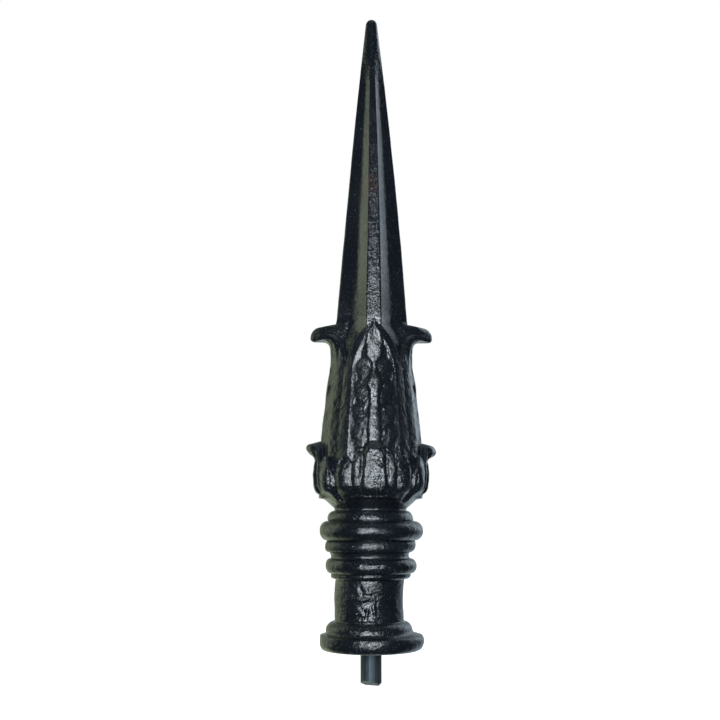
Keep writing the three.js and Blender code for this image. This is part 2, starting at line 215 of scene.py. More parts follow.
def base_profile():
    """Points (radius, height) from the bottom of the stud's hole round the foot to the neck."""
    foot_edge = FOOT["radius"] - FOOT["below"]
    inward, upward = HOLE_CHAMFER
    profile = [(HOLE_RADIUS, HOLE_DEPTH), (HOLE_RADIUS, upward), (HOLE_RADIUS + inward, 0)]
    profile += [(r, 0) for r in np.linspace(HOLE_RADIUS + 3, foot_edge, 5)]
    profile += section(0, FOOT, 18)[1:]
    level = FOOT["height"] + FOOT_SLOPE
    root = lerp(OVOLO["radius"], FOOT["radius"], 0.1)
    shoulder = FOOT["radius"] - FOOT["above"]
    profile += [(lerp(shoulder, root, t), level - FOOT_SLOPE * (1 - t)) for t in (0.3, 0.7, 1)]
    for turn in np.linspace(0, math.pi / 2, 10):
        rise = OVOLO["height"] * lerp(0.2, 1, math.sin(turn))
        profile.append((lerp(SHAFT["radius"], OVOLO["radius"], math.cos(turn)), level + rise))
    level += OVOLO["height"]
    profile += [(SHAFT["radius"], level + SHAFT["height"] * t) for t in np.linspace(0.02, 1, 32)]
    level += SHAFT["height"]
    for moulding, steps in (
        (SHAFT_RING, 6),
        (LOWER_RING, 14),
        (GROOVE, 8),
        (MIDDLE_RING, 10),
        (TORUS, 18),
        (UPPER_RING, 12),
    ):
        points = section(level, moulding, steps)
        profile += points[1:-1] if moulding is GROOVE else points
        level += moulding["height"]
    return profile, level + NECK["height"]


# Worn raised marks on the front of the shaft: strokes from (x, height) to (x, height), no letters
MARK_RISE, MARK_HALF_WIDTH = 0.55, 1.5
SHAFT_MARKS = [
    ((-8.0, 34.6), (-6.4, 31.6)), ((-4.6, 35.2), (-2.6, 34.4)), ((-2.8, 32.6), (-0.6, 32.2)),
    ((-8.2, 29.6), (-5.2, 28.3)), ((-5.2, 28.3), (-1.2, 29.4)),
    ((-7.6, 23.8), (-4.6, 20.6)), ((-2.0, 23.2), (-2.6, 19.6)), ((1.4, 25.4), (1.8, 21.6)),
    ((-8.4, 17.6), (-6.6, 17.4)), ((-4.6, 17.3), (-2.8, 17.5)), ((-0.6, 17.4), (1.2, 17.2)),
]


def shaft_relief(x, height):
    """Rise of the worn marks at a place on the shaft's front."""
    rise = np.zeros(np.broadcast(x, height).shape)
    for (x0, h0), (x1, h1) in SHAFT_MARKS:
        length = (x1 - x0) ** 2 + (h1 - h0) ** 2
        t = np.clip(((x - x0) * (x1 - x0) + (height - h0) * (h1 - h0)) / length, 0, 1)
        distance = np.hypot(x - lerp(x0, x1, t), height - lerp(h0, h1, t))
        rise = np.maximum(rise, MARK_RISE * ridge(distance, MARK_HALF_WIDTH))
    return rise


# Casting: calyx, leaves and spear. Angles are degrees from a leaf's midline.


def calyx_face(height):
    """Radius of the calyx under its relief."""
    return through(
        [
            (0, NECK["radius"]),
            (CUP, CUP_RADIUS),
            (SWELL, SWELL_RADIUS),
            (BULGE, BULGE_RADIUS),
            (THROAT, THROAT_RADIUS),
            (TIP, THROAT_RADIUS),
        ],
        height,
    )


def calyx_edge(angle, upright):
    """Height of a calyx leaf's top edge: the tip, a notch, a shoulder and the gap between leaves.

    The tip is pointed on a leaf that curls and broad on an upright one.
    """
    flank = [
        (28, lerp(NOTCH, SHOULDER, 0.8)),
        (33.5, SHOULDER),
        (38, lerp(GAP, SHOULDER, 0.66)),
        (LEAF_HALF_ANGLE, GAP),
    ]
    pointed = [(0, TIP), (10, lerp(NOTCH, TIP, 0.72)), (18, lerp(NOTCH, TIP, 0.16)), (22, NOTCH)]
    broad = [(0, TIP), (9, lerp(NOTCH, TIP, 0.9)), (17, lerp(NOTCH, TIP, 0.5)), (22, NOTCH)]
    return lerp(through(pointed + flank, angle), through(broad + flank, angle), upright)


# Forms of a calyx leaf: angles in degrees, heights above the neck, and ranges of an eased step
MIDDLE_LOBE = dict(rise=1.9, half_angle=13.4, level=14, narrowing=0.018, power=8)
SIDE_LOBES = [
    dict(rise=1.0, crest=19.6, within=6.6, beyond=2.8, level=21, half_length=15),
    dict(rise=2.0, crest=33, within=11, beyond=7, level=15, half_length=13),
]
FACET = dict(radius=32.5, half_angle=12)
SLIT = dict(depth=0.9, angle=12.4, half_angle=1.5, start=(11, 15))
BOSS = dict(rise=1.5, half_angle=12, level=9.4, half_height=6)
JOIN = dict(depth=2.2, half_angle=3.6)
HOLLOW = dict(depth=2.4, half_angle=7, level=6, half_height=7, start=(3, 5))
LEDGE = dict(radius=29.8, bottom=(5.2, 5.9), top=(7.0, 7.9), side=(14, 32))
MARGIN = dict(rise=0.5, under_edge=0.9, half_width=1.1, start=(20, 28))
CROWN = dict(depth=1.3, from_edge=(-3.4, 0.2), start=(4, 9), end=(20, 26))
RELIEF_START = (CUP + 2, SWELL + 0.4)
FACE_SINK = 0.8


def middle_lobe(angle, height):
    narrowed = 1 - MIDDLE_LOBE["narrowing"] * (height - MIDDLE_LOBE["level"])
    half_angle = MIDDLE_LOBE["half_angle"] * narrowed
    return MIDDLE_LOBE["rise"] * flat_dome(angle, half_angle, MIDDLE_LOBE["power"])


def side_lobe(angle, height, lobe):
    """A lobe that rises slowly from the midline's side to its crest and drops beyond it."""
    past = angle - lobe["crest"]
    within = 1 - np.clip(-past / lobe["within"], 0, 1) ** 1.4
    across = np.where(past < 0, within, dome(past, lobe["beyond"]))
    return lobe["rise"] * across * (1 - ((height - lobe["level"]) / lobe["half_length"]) ** 2)


def calyx_relief(angle, height, upright):
    """Lobes, slits, margins, the ledge under them and the hollow between leaves.

    An upright leaf also has a boss at its foot, and its tip is set back beside the midline.
    """
    sides = [side_lobe(angle, height, lobe) for lobe in SIDE_LOBES]
    lobes = np.maximum.reduce([middle_lobe(angle, height), *sides])
    facet = flattening(angle, FACET["radius"], FACET["half_angle"])
    slit = SLIT["depth"] * ridge(angle - SLIT["angle"], SLIT["half_angle"])
    slit = slit * smooth(height, *SLIT["start"])
    boss = BOSS["rise"] * upright * np.sqrt(ridge(angle, BOSS["half_angle"]))
    boss = boss * ridge(height - BOSS["level"], BOSS["half_height"])
    from_join = angle - LEAF_HALF_ANGLE
    join = JOIN["depth"] * ridge(from_join, JOIN["half_angle"])
    hollow = HOLLOW["depth"] * ridge(from_join, HOLLOW["half_angle"])
    hollow = hollow * ridge(height - HOLLOW["level"], HOLLOW["half_height"])
    hollow = hollow * smooth(height, *HOLLOW["start"])
    ledge = plateau(height, LEDGE["bottom"], LEDGE["top"]) * (1 - smooth(angle, *LEDGE["side"]))
    ledge = ledge * np.maximum(0, LEDGE["radius"] - calyx_face(height) - boss)
    from_edge = height - calyx_edge(angle, upright)
    margin = MARGIN["rise"] * ridge(from_edge + MARGIN["under_edge"], MARGIN["half_width"])
    margin = margin * smooth(angle, *MARGIN["start"])
    crown = CROWN["depth"] * upright * smooth(from_edge, *CROWN["from_edge"])
    crown = crown * plateau(angle, CROWN["start"], CROWN["end"])
    face = smooth(height, *RELIEF_START) * (lobes + facet - FACE_SINK - slit - join)
    return face + boss + ledge - hollow + margin - crown


def body_radius(height):
    """Radius of the tall leaves' body under their relief."""
    return through(
        [
            (GAP, 28.9),
            (LEAF_FOOT, 28.2),
            (LEAF_WAIST, 25.5),
            (LEAF_NECK, 23.5),
            (LEAF_BEND, 22.8),
            (LEAF_APEX, 22.6),
        ],
        height,
    )


# The outer edge and the rim of a tall leaf: how far under its apex they begin to close
ARCH_RISE, ARCH_HALF_ANGLE = 27, 41
RIM_RISE, RIM_CLOSING, RIM_HALF_ANGLE = 29, 25, 30.5


def arch_height(angle):
    """Height of a tall leaf's outer edge, which closes to a point."""
    return LEAF_APEX - ARCH_RISE * (1 - np.clip(1 - angle / ARCH_HALF_ANGLE, 0, 1) ** (1 / 2.1))


def rim_angle(height):
    """Angle of the raised rim inside the outer edge, which also closes to a point."""
    rise = np.clip((height - LEAF_APEX + RIM_RISE) / RIM_CLOSING, 0, 1)
    return RIM_HALF_ANGLE * (1 - rise**1.75)


# The raised tongue on a tall leaf's midline: (height, half width) and (height, rise) in millimetres
TONGUE_WIDTH = [
    (34, 3.6), (46, 3.9), (54, 3.4), (60, 3.0), (66, 3.6), (70, 4.8), (73.5, 3.6), (78, 1.8), (82, 2.0),
    (85, 4.4), (88, 5.4), (93, 5.2), (99, 3.4), (104.5, 1.0),
]
TONGUE_RISE = [(34, 1.05), (60, 1.35), (74, 1.65), (78, 1.35), (84, 1.15), (91, 1.45), (104.5, 0.75)]
TONGUE_FACET_ANGLE = 9
TONGUE_POWER = 3

# The rim's profile: millimetres beyond its crest, and rise
RIM_PROFILE = ([-3.4, -0.65, 0, 6.5], [-0.2, 0.55, 0.9, 0.1])

# The small lobes between tongue and rim: pitch up the leaf, how far they lean up at the rim, the
# room between their round tips and the rim, and where they start and end. Veins are shares of a
# pitch from a lobe's middle.
SMALL_LOBE = dict(
    pitch=13.4, lean=12, phase=0.35, rise=0.65, flattened=0.35, flattened_over=(2, 9),
    tip_room=1.7, tip_roundness=8, tip_slope=1.6,
    start=(TIP + 1, LEAF_FOOT), end=(LEAF_BEND + 4, LEAF_BEND + 10),
)
VEIN = dict(rise=0.2, middle=0.05, middle_half_width=0.07, side=0.24, side_half_width=0.06)
STEM = dict(rise=0.5, across=5.8, half_width=0.8, start=(38, 42), end=(54, 60))


def small_lobes(angle, height, across, from_rim):
    """A tall leaf's leaning lobes with their veins."""
    lean = SMALL_LOBE["lean"] * np.clip(angle / RIM_HALF_ANGLE, 0, 1) ** 1.1
    phase = (height - lean - LEAF_FOOT) / SMALL_LOBE["pitch"] - SMALL_LOBE["phase"]
    off = phase - np.round(phase)
    tip_room = SMALL_LOBE["tip_room"] + SMALL_LOBE["tip_roundness"] * off * off
    reach = smooth(-from_rim, tip_room, tip_room + SMALL_LOBE["tip_slope"])
    reach = reach * plateau(height, SMALL_LOBE["start"], SMALL_LOBE["end"])
    body = SMALL_LOBE["rise"] * np.cos(math.pi * np.clip(off, -0.5, 0.5)) ** 0.7
    body = body * (1 - SMALL_LOBE["flattened"] * smooth(across, *SMALL_LOBE["flattened_over"]))
    middle_vein = ridge(off - VEIN["middle"], VEIN["middle_half_width"])
    side_veins = ridge(np.abs(off) - VEIN["side"], VEIN["side_half_width"])
    return reach * (body + VEIN["rise"] * (middle_vein + side_veins))


def leaf_relief(angle, height):
    """Rim, small lobes, tongue and stems of a tall leaf."""
    radius = body_radius(height)
    mm = math.radians(1) * radius
    across = angle * mm
    from_rim = (angle - rim_angle(height)) * mm
    rim = np.interp(from_rim, *RIM_PROFILE)
    lobes = small_lobes(angle, height, across, from_rim)
    width = through(TONGUE_WIDTH, height)
    facet = flattening(angle, radius, TONGUE_FACET_ANGLE) * (across < width)
    tongue = through(TONGUE_RISE, height) * flat_dome(across, width, TONGUE_POWER) + facet
    stem = STEM["rise"] * ridge(across - STEM["across"], STEM["half_width"])
    stem = stem * plateau(height, STEM["start"], STEM["end"])
    return rim + np.maximum.reduce([lobes, tongue, stem])


def spear_radius(angle, height):
    """A taper with four flat ridges and flutes between them, which turns round towards its tip."""
    rise = np.clip((height - SPEAR_ROOT) / SPEAR_LENGTH, 0, 1)
    taper = lerp(SPEAR_ROOT_RADIUS, SPEAR_TIP_RADIUS, rise) + SPEAR_BELLY * rise * (1 - rise)
    ridge_angle = math.degrees(math.atan(RIDGE_SLOPE))
    flat = 1 / np.cos(np.radians(np.minimum(angle, ridge_angle)))
    along = np.clip((angle - ridge_angle) / (LEAF_HALF_ANGLE - ridge_angle), 0, 1)
    fluted = lerp(flat, FLUTE_FLOOR, np.sin(math.pi / 2 * along) ** 0.75)
    roundness = smooth(height, SPEAR_TOP - SPEAR_ROUNDED, SPEAR_TOP)
    from_tip = np.clip((SPEAR_TOP - height) / SPEAR_TIP_RADIUS, 0, 1)
    return taper * lerp(fluted, 1, roundness) * np.sqrt(1 - (1 - from_tip) ** 2)


# Where the calyx leaves' lips leave the leaf, below the tip
LIP_ROOT = 7.6


def lip_view(points):
    """A side view from (radius, rise above the tip's level) points."""
    return SideView([(radius, TIP + rise) for radius, rise in points])


# The lip on the right droops, that on the left is sharper, and those at the front and back stand up
RIGHT_LIP = lip_view([
    (31.7, -7.6), (31.9, -6.3), (33.0, -5.3), (35.0, -4.1), (37.0, -3.1), (37.9, -1.7), (37.6, -0.2),
    (36.6, 1.3), (34.4, 2.3), (31.9, 3.0), (29.2, 3.6),
])
LEFT_LIP = lip_view([
    (31.7, -7.6), (32.0, -5.6), (33.0, -4.0), (34.8, -2.7), (36.6, -1.4), (37.6, 0.1), (37.5, 1.5),
    (36.5, 2.6), (34.0, 3.3), (31.4, 4.1), (29.0, 4.6),
])
FRONT_LIP = lip_view([
    (31.7, -7.6), (31.8, -6.0), (31.9, -4.4), (32.0, -2.9), (32.0, -1.4), (31.7, -0.1), (30.9, 1.3),
    (29.7, 2.6), (28.4, 3.5),
])
LIPS = (RIGHT_LIP, FRONT_LIP, LEFT_LIP, FRONT_LIP)
LIP_TIP = 0.52
LIP_HALF_ANGLE = 21

# The outward curl of the tall side leaves, as (radius, height above the neck) points. CURL_TIP is
# the share of its length at which it turns back, as LIP_TIP is for the lips.
CURL = SideView([
    (22.8, 89.0), (23.2, 93.2), (24.2, 95.9), (26.3, 97.7), (29.4, 98.4), (32.4, 97.6),
    (34.4, 96.8), (35.6, 97.8), (35.8, 100.0), (34.9, 102.6), (32.6, 104.9), (29.4, 105.8),
    (25.6, 106.2), (20.8, 106.0),
])
CURL_TIP = 0.52
CURL_HALF_ANGLE = 32
CURL_BASE = TIP + 3.6

# Shares of a curl's length over which its relief fades out, and between which it has a normal
RELIEF_FADE = (0.25, 0.48)
FRONT_RELIEF_FADE = (0.42, 0.6)
NORMAL_RANGE = (0.011, 0.989)


def side_weights(angle, half_angle):
    """How far a place beside the midline follows a curl outward and upward."""
    share = np.clip(angle / half_angle, 0, 1)
    return (1 - share) ** 1.35, (1 - share**2) ** 1.5


def bend(radius, height, relief, side, share, angle, half_angle, mask, fade=RELIEF_FADE):
    """Moves points to a curl's side view, all the way on the midline and less beside it."""
    outward, upward = side_weights(angle, half_angle)
    target_r, target_h = side.at(np.clip(share, 0, 1))
    normal_r, normal_h = side.normal(np.clip(share, *NORMAL_RANGE))
    on = (share > 0) * mask
    relief = relief * (1 - smooth(share, *fade))
    new_r = lerp(radius, target_r + relief * normal_r, outward)
    new_h = lerp(height, target_h + relief * normal_h, upward)
    return np.where(on, new_r, radius), np.where(on, new_h, height)


def lip_bend(radius, height, relief, share, angle, leaf_index):
    """Bends every calyx leaf's tip to its own side view."""
    for index, side in enumerate(LIPS):
        on = leaf_index == index
        fade = FRONT_RELIEF_FADE if side is FRONT_LIP else RELIEF_FADE
        radius, height = bend(radius, height, relief, side, share, angle, LIP_HALF_ANGLE, on, fade)
    return radius, height


def columns(count):
    """Degrees of the columns round the casting."""
    return np.arange(count) * 360 / count


def from_midline(column):
    """Degrees from the nearest leaf's midline."""
    return np.abs((column + LEAF_HALF_ANGLE) % LEAF_SPAN - LEAF_HALF_ANGLE)


def ring(radius, column, height):
    """Points of a ring, whose radius and height may differ by column."""
    turn = np.radians(column)
    height = np.broadcast_to(height, turn.shape)
    return np.stack([radius * np.cos(turn), radius * np.sin(turn), height], axis=1)


def shares(split, below, above):
    """Rows from 0 to 1, at one spacing below the split and another above it."""
    return np.concatenate([np.linspace(0, split, below)[:-1], np.linspace(split, 1, above)])


# Rows up the calyx leaves, the tall leaves and the ramp from their edge to the spear
CALYX_ROWS, LEAF_ROWS, RAMP_ROWS = (0.34, 22, 44), (0.74, 66, 42), 19

# The rolled top edge of a calyx leaf, row by row: millimetres inward and up from the face's top
ROLLED_EDGE = [(0.0, 0.35), (-0.5, 0.65), (-1.1, 0.5), (-1.6, 0.0), (-1.8, -0.9), (-2.0, -1.8)]

# Share of the relief that is kept on a lip that curls and on one that stands up
KEPT_RELIEF = (0.6, 0.9)

# Millimetres: where the body starts under the calyx's edge, the room behind a rolled edge, the small
# step in at a tall leaf's edge, and its depth over the ramp behind it
BODY_START, EDGE_ROOM, EDGE_STEP, LEAF_DEPTH = 1.7, 1.2, 0.3, 2.6


def carved_rings(neck_top):
    """Rings over the fine columns, from the neck to the spear's root."""
    column = columns(FINE)
    angle = from_midline(column)
    leaf_index = np.round(column / LEAF_SPAN).astype(int) % 4
    curled = leaf_index % 2 == 0
    upright = 1.0 - curled
    edge = calyx_edge(angle, upright)
    arch = arch_height(angle)
    lip_up = side_weights(angle, LIP_HALF_ANGLE)[1]
    lip_end = np.array([side.at(1.0)[1] for side in LIPS])[leaf_index]
    body_start = lerp(edge - BODY_START, lip_end, lip_up)
    rings = []

    lip_from = (TIP - LIP_ROOT) / TIP
    for share in shares(*CALYX_ROWS):
        height = share * edge
        relief = calyx_relief(angle, height, upright)
        along = np.full(FINE, (share - lip_from) / (1 - lip_from) * LIP_TIP)
        kept = relief * lerp(*KEPT_RELIEF, upright)
        rings.append(lip_bend(calyx_face(height) + relief, height, kept, along, angle, leaf_index))

    face = calyx_face(edge) + calyx_relief(angle, edge, upright)
    for i, (inward, up) in enumerate(ROLLED_EDGE):
        share = (i + 1) / (len(ROLLED_EDGE) + 1)
        along = np.full(FINE, lerp(LIP_TIP, 1, share))
        behind = lerp(face + inward, body_radius(edge + up) + EDGE_ROOM, share)
        wall = np.minimum(face + inward, behind)
        rings.append(lip_bend(wall, edge + up, 0.0, along, angle, leaf_index))

    curl_from = (LEAF_BEND - CURL_BASE) / (LEAF_APEX - CURL_BASE)
    for share in shares(*LEAF_ROWS):
        height = lerp(body_start, arch, share)
        relief = leaf_relief(angle, height)
        radius = body_radius(height) + relief
        along = np.full(FINE, (share - curl_from) / (1 - curl_from) * CURL_TIP)
        rings.append(bend(radius, height, relief, CURL, along, angle, CURL_HALF_ANGLE, curled))

    edge_radius = body_radius(arch) + leaf_relief(angle, arch)
    for share in np.linspace(0, 1, RAMP_ROWS)[1:]:
        height = lerp(arch, SPEAR_ROOT, share**1.3)
        out = 1 - smooth(height, LEAF_APEX - 16, LEAF_APEX)
        ramp = lerp(spear_radius(angle, height), body_radius(height) - LEAF_DEPTH, out)
        radius = lerp(edge_radius - EDGE_STEP, ramp, smooth(share, -0.02, 0.12))
        along = np.full(FINE, lerp(CURL_TIP, 1, share))
        on = curled & (share < 1)
        rings.append(bend(radius, height, 0.0, CURL, along, angle, CURL_HALF_ANGLE, on))

    return [ring(radius, column, height + neck_top) for radius, height in rings]


def turned_ring(radius, height, count, marked):
    """A ring of the turned base, with the worn marks where it is marked."""
    column = columns(count)
    if marked:
        turn = np.radians(column)
        radius = radius + shaft_relief(radius * np.cos(turn), height) * (np.sin(turn) < 0)
    return ring(radius, column, height)


def spear_rings(neck_top):
    """Rings over the coarse columns, from the spear's root to just below its top point.

    They stand closer over its last 46 millimetres.
    """
    column = columns(COARSE)
    angle = from_midline(column)
    closer = SPEAR_TOP - 46
    heights = np.concatenate([
        np.linspace(SPEAR_ROOT + 1.5, closer, 24)[:-1],
        np.linspace(closer, SPEAR_TOP - SPEAR_TIP_RADIUS, 20)[:-1],
        SPEAR_TOP - SPEAR_TIP_RADIUS * (1 - np.sin(np.linspace(0, math.pi / 2, 7)[:-1])),
    ])
    return [ring(spear_radius(angle, height), column, height + neck_top) for height in heights]


def stitched(rings):
    """Vertices and faces between rings of equal count, or of which one has twice the other's."""
    starts = np.concatenate([[0], np.cumsum([len(points) for points in rings])])
    faces = []
    for row in range(len(rings) - 1):
        low, high = starts[row], starts[row + 1]
        n_low, n_high = len(rings[row]), len(rings[row + 1])
        for i in range(min(n_low, n_high)):
            j = (i + 1) % min(n_low, n_high)
            if n_low == n_high:
                faces.append((low + i, low + j, high + j, high + i))
                continue
            fine, coarse = (high, low) if n_high > n_low else (low, high)
            mid, last = 2 * i + 1, (2 * i + 2) % max(n_low, n_high)
            triangles = [
                (coarse + i, fine + mid, fine + 2 * i),
                (coarse + i, coarse + j, fine + mid),
                (coarse + j, fine + last, fine + mid),
            ]
            if n_high < n_low:
                triangles = [t[::-1] for t in triangles]
            faces.extend(triangles)
    return np.concatenate(rings), faces, starts


# Sideways wander of the real casting's axis by height above the foot, in millimetres
WANDER = [
    (0, 0.2), (7.5, 0.2), (10, -0.9), (16, -1.0), (36, -0.9), (42, 0.0), (49, 0.0), (53, -0.7),
    (57, -0.4), (62, 0.2), (70, 0.1), (74, -0.4), (79, -0.2), (95, 0.0), (130, 0.3), (190, 0.6),
    (230, 0.9), (377, 0.8),
]

# Waves of the skin: rise and length in millimetres, and the noise's offset. The first two are
# everywhere, the third is between two heights on the calyx and the last above them.
LONG_WAVE = (0.16, 7, Vector((0, 0, 0)))
SHORT_WAVE = (0.09, 2.2, Vector((9, 0, 0)))
CALYX_WAVE = (0.17, 3.0, Vector((0, 5, 0)))
UPPER_WAVE = (0.07, 3.0, Vector((0, 5, 0)))
CALYX_WAVE_FROM, CALYX_WAVE_TO = 85, 112


def wave(place, rise, length, offset):
    return rise * noise.noise(place / length + offset)


def roughened(points):
    """Moves points a little, as the skin and the axis of a sand casting wander.

    The stud's hole and the foot's flat underside stay true.
    """
    moved = points.copy()
    radius = np.hypot(points[:, 0], points[:, 1])
    height = points[:, 2]
    skin = (radius > HOLE_RADIUS + 0.1) & (height > 0.3)
    for i in np.flatnonzero(skin):
        place = Vector(points[i])
        rise = wave(place, *LONG_WAVE) + wave(place, *SHORT_WAVE)
        if height[i] > CALYX_WAVE_FROM:
            rise += wave(place, *(CALYX_WAVE if height[i] < CALYX_WAVE_TO else UPPER_WAVE))
        moved[i, :2] += rise * points[i, :2] / radius[i]
    moved[:, 0] += through(WANDER, height) * (skin | (height > HOLE_DEPTH + 1))
    return moved


def smooth_mesh(name, points_mm, faces):
    """An object in metres, smoothly shaded, from points in millimetres."""
    mesh = bpy.data.meshes.new(name)
    mesh.from_pydata((points_mm / 1000).tolist(), [], [tuple(int(v) for v in face) for face in faces])
    mesh.polygons.foreach_set("use_smooth", [True] * len(mesh.polygons))
    mesh.update()
    piece = bpy.data.objects.new(name, mesh)
    bpy.context.scene.collection.objects.link(piece)
    return piece


def add_casting():
    profile, neck_top = base_profile()
    shaft_low = FOOT["height"] + FOOT_SLOPE + OVOLO["height"]
    shaft_high = shaft_low + SHAFT["height"]
    base = []
    for radius, height in profile:
        on_shaft = shaft_low < height < shaft_high
        base.append(turned_ring(radius, height, FINE if on_shaft else COARSE, on_shaft))
    rings = base + carved_rings(neck_top) + spear_rings(neck_top)
    points, faces, starts = stitched(rings)
    faces.append(tuple(range(COARSE))[::-1])
    tip = len(points)
    points = np.vstack([points, [[0, 0, SPEAR_TOP + neck_top]]])
    last = starts[-2]
    faces.extend((last + i, last + (i + 1) % COARSE, tip) for i in range(COARSE))
    return smooth_mesh("casting_detail", roughened(points), faces)


# Materials. Places and levels are in metres.

# The third colour is pale, for specks that paint tiny glints of light into the black
BLACK, PALER_BLACK, PAINTED_GLINT = (0.0045, 0.006, 0.0085), (0.009, 0.0115, 0.0155), (0.06, 0.07, 0.08)
DARK_STEEL, PALE_STEEL = (0.022, 0.03, 0.037), (0.06, 0.078, 0.092)

# Scales of the noise, in waves to the metre; the fourth scatters the painted glints
GRAIN, LUMPS, BLOTCHES, PAINTED_GLINT_SCALE, WEAR = 1100, 330, 60, 1300, 700
STEEL_STREAKS, STEEL_BLOTCHES = 1200, 220

# Middle of a small rusty patch on the spear's front, and where it is full and where it ends
RUST = (0.05, 0.027, 0.019)
RUST_PLACE = (0.0, -0.013, 0.268)
RUST_REACH = (0.003, 0.009)

# Levels between which the paint changes: at the calyx leaves' tips, the spear's root and above it
CALYX_TOP = (0.108, 0.12)
CALYX_POLISH_TOP = (0.112, 0.12)
SPEAR_FOOT = (0.186, 0.19)
SPEAR_FLUTES = (0.198, 0.212)
SPEAR_POLISH = (0.188, 0.2)

# The middle ring's crest is duller, in full within the first distance and not beyond the second
DULL_LEVEL = 0.0573
DULL_REACH = (0.003, 0.004)


def new_material(name, color, roughness, metallic=0.0):
    """A material, its tree and its shader, plain until nodes are linked to it."""
    material = bpy.data.materials.new(name)
    material.use_nodes = True
    shader = material.node_tree.nodes["Principled BSDF"]
    shader.inputs["Base Color"].default_value = (*color, 1)
    shader.inputs["Roughness"].default_value = roughness
    shader.inputs["Metallic"].default_value = metallic
    return material, material.node_tree, shader


def node(tree, kind, **values):
    """A new node with its sockets or properties set by name."""
    made = tree.nodes.new(kind)
    for key, value in values.items():
        if key in made.inputs:
            made.inputs[key].default_value = value
        else:
            setattr(made, key, value)
    return made


def noise_texture(tree, place, scale, detail=3.0, roughness=0.5):
    texture = node(tree, "ShaderNodeTexNoise", Scale=scale, Detail=detail, Roughness=roughness)
    tree.links.new(place, texture.inputs["Vector"])
    return texture.outputs["Fac"]


def mapped(tree, value, low, high, to_low, to_high):
    """A value that runs from to_low to to_high while the given one runs from low to high."""
    made = node(tree, "ShaderNodeMapRange")
    tree.links.new(value, made.inputs["Value"])
    made.inputs["From Min"].default_value = low
    made.inputs["From Max"].default_value = high
    made.inputs["To Min"].default_value = to_low
    made.inputs["To Max"].default_value = to_high
    return made.outputs["Result"]


def mixed(tree, fac, a, b):
    """A colour between a and b, each a colour or a socket."""
    made = node(tree, "ShaderNodeMix", data_type="RGBA")
    tree.links.new(fac, made.inputs["Factor"])
    for socket, value in ((made.inputs["A"], a), (made.inputs["B"], b)):
        if isinstance(value, tuple):
            socket.default_value = (*value, 1)
        else:
            tree.links.new(value, socket)
    return made.outputs["Result"]


def computed(tree, operation, a, b=0):
    """The result of a math node on a and b, each a number or a socket."""
    made = node(tree, "ShaderNodeMath", operation=operation)
    for socket, value in zip(made.inputs, (a, b)):
        if isinstance(value, (int, float)):
            socket.default_value = value
        else:
            tree.links.new(value, socket)
    return made.outputs["Value"]


def total(tree, *values):
    """The sum of two or more values, taken from the left."""
    result = values[0]
    for value in values[1:]:
        result = computed(tree, "ADD", result, value)
    return result


def bumped(tree, shader, height, distance, strength):
    """Gives a shader the relief of a height, at a strength that is a number or a socket."""
    bump = node(tree, "ShaderNodeBump", Distance=distance)
    if isinstance(strength, float):
        bump.inputs["Strength"].default_value = strength
    else:
        tree.links.new(strength, bump.inputs["Strength"])
    tree.links.new(height, bump.inputs["Height"])
    tree.links.new(bump.outputs["Normal"], shader.inputs["Normal"])


def painted_iron():
    """Gloss black paint over a grainy sand casting, with pale specks of painted glint and a little
    rust.
    """
    material, tree, shader = new_material("painted_cast_iron", (0.012, 0.014, 0.018), 0.3)
    place = node(tree, "ShaderNodeTexCoord").outputs["Object"]
    split = node(tree, "ShaderNodeSeparateXYZ")
    tree.links.new(place, split.inputs["Vector"])
    level = split.outputs["Z"]

    # Relief: strong up to the calyx and at the spear's foot, weaker on the leaves and the flutes
    grain = noise_texture(tree, place, GRAIN, 2.0, 0.6)
    lumps = noise_texture(tree, place, LUMPS)
    strength = total(
        tree,
        mapped(tree, level, *CALYX_TOP, 0.8, 0.55),
        mapped(tree, level, *SPEAR_FOOT, 0, 0.4),
        mapped(tree, level, *SPEAR_FLUTES, 0, -0.35),
    )
    relief = total(tree, computed(tree, "MULTIPLY", grain, 0.6), lumps)
    bumped(tree, shader, relief, 0.0006, strength)

    # Roughness: blotchy, glossier up to the calyx and on the spear, duller on the middle ring
    blotches = noise_texture(tree, place, BLOTCHES, 2.0)
    smoother = total(
        tree,
        mapped(tree, level, *CALYX_POLISH_TOP, -0.06, 0),
        mapped(tree, level, *SPEAR_POLISH, 0, -0.04),
    )
    from_dull = computed(tree, "ABSOLUTE", total(tree, level, -DULL_LEVEL))
    rougher = mapped(tree, from_dull, *DULL_REACH, 0.1, 0)
    roughness = total(tree, mapped(tree, blotches, 0.3, 0.7, 0.16, 0.3), smoother, rougher)
    tree.links.new(roughness, shader.inputs["Roughness"])

    # Colour: two blacks, pale specks that are painted glints, and the rusty patch
    tone = mixed(tree, blotches, BLACK, PALER_BLACK)
    painted_glints = mapped(tree, noise_texture(tree, place, PAINTED_GLINT_SCALE, 2.0), 0.64, 0.77, 0, 1)
    color = mixed(tree, painted_glints, tone, PAINTED_GLINT)
    apart = node(tree, "ShaderNodeVectorMath", operation="DISTANCE")
    tree.links.new(place, apart.inputs[0])
    apart.inputs[1].default_value = RUST_PLACE
    patch = mapped(tree, apart.outputs["Value"], *RUST_REACH, 1, 0)
    worn = mapped(tree, noise_texture(tree, place, WEAR), 0.45, 0.62, 0, 0.8)
    color = mixed(tree, computed(tree, "MULTIPLY", patch, worn), color, RUST)
    tree.links.new(color, shader.inputs["Base Color"])
    return material


